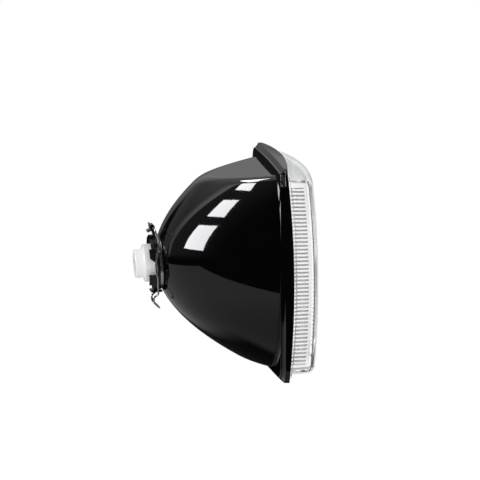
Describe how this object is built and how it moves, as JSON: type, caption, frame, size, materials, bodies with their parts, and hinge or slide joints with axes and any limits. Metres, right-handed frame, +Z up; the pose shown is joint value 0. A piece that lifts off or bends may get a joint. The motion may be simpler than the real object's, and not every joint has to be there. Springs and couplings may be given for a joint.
{
  "type": "motorcycle headlight",
  "caption": "Rectangular motorcycle headlight unit: fluted glass lens bonded to a black pressed-steel reflector bowl, with a wire-clipped bulb and a white plug socket behind.",
  "frame": {"origin": "centre of the rim's rear seat plane", "axes": "+X forward out of the lens, square to the rim's seat; +Y across the lamp; +Z up"},
  "size_m": [0.1155, 0.168, 0.1408],
  "materials": {
    "clear_glass": "clear pressed glass",
    "black_enamel": "gloss black enamel outside, aluminised mirror inside",
    "black_sealant": "matte black sealant",
    "zinc_plate": "bright zinc plate",
    "spring_wire": "bright drawn spring wire",
    "black_steel": "semi-gloss black stamped steel",
    "bulb_metal": "bright tinned steel",
    "nickel_wire": "drawn nickel wire",
    "tungsten": "grey tungsten coil",
    "base_insulation": "dark fired insulation",
    "solder": "dull solder",
    "white_plastic": "satin white moulded plastic",
    "terminal_brass": "stamped brass strip"
  },
  "bodies": {
    "lamp": {"lens_glass": "clear_glass", "bulb_envelope": "clear_glass", "bulb_stem": "clear_glass", "reflector_bowl": "black_enamel", "lens_seal": "black_sealant", "neck_collar": "zinc_plate", "holder_rivets": "zinc_plate", "bulb_holder": "black_steel", "bulb_flange": "bulb_metal", "bulb_base_shell": "bulb_metal", "support_wire_common": "nickel_wire", "support_wire_main": "nickel_wire", "support_wire_dip": "nickel_wire", "main_filament": "tungsten", "dip_filament": "tungsten", "base_insulator": "base_insulation", "base_contacts": "solder", "socket_body": "white_plastic", "terminal_common": "terminal_brass", "terminal_main": "terminal_brass", "terminal_dip": "terminal_brass"},
    "bail": {"wire_bail": "spring_wire"}
  },
  "joints": [
    {"name": "bail_swing", "type": "hinge", "parent": "lamp", "child": "bail", "pos_m": [-0.07438, 0, 0.02423], "axis": [0, 1, 0], "range_deg": [0, 110]}
  ]
}
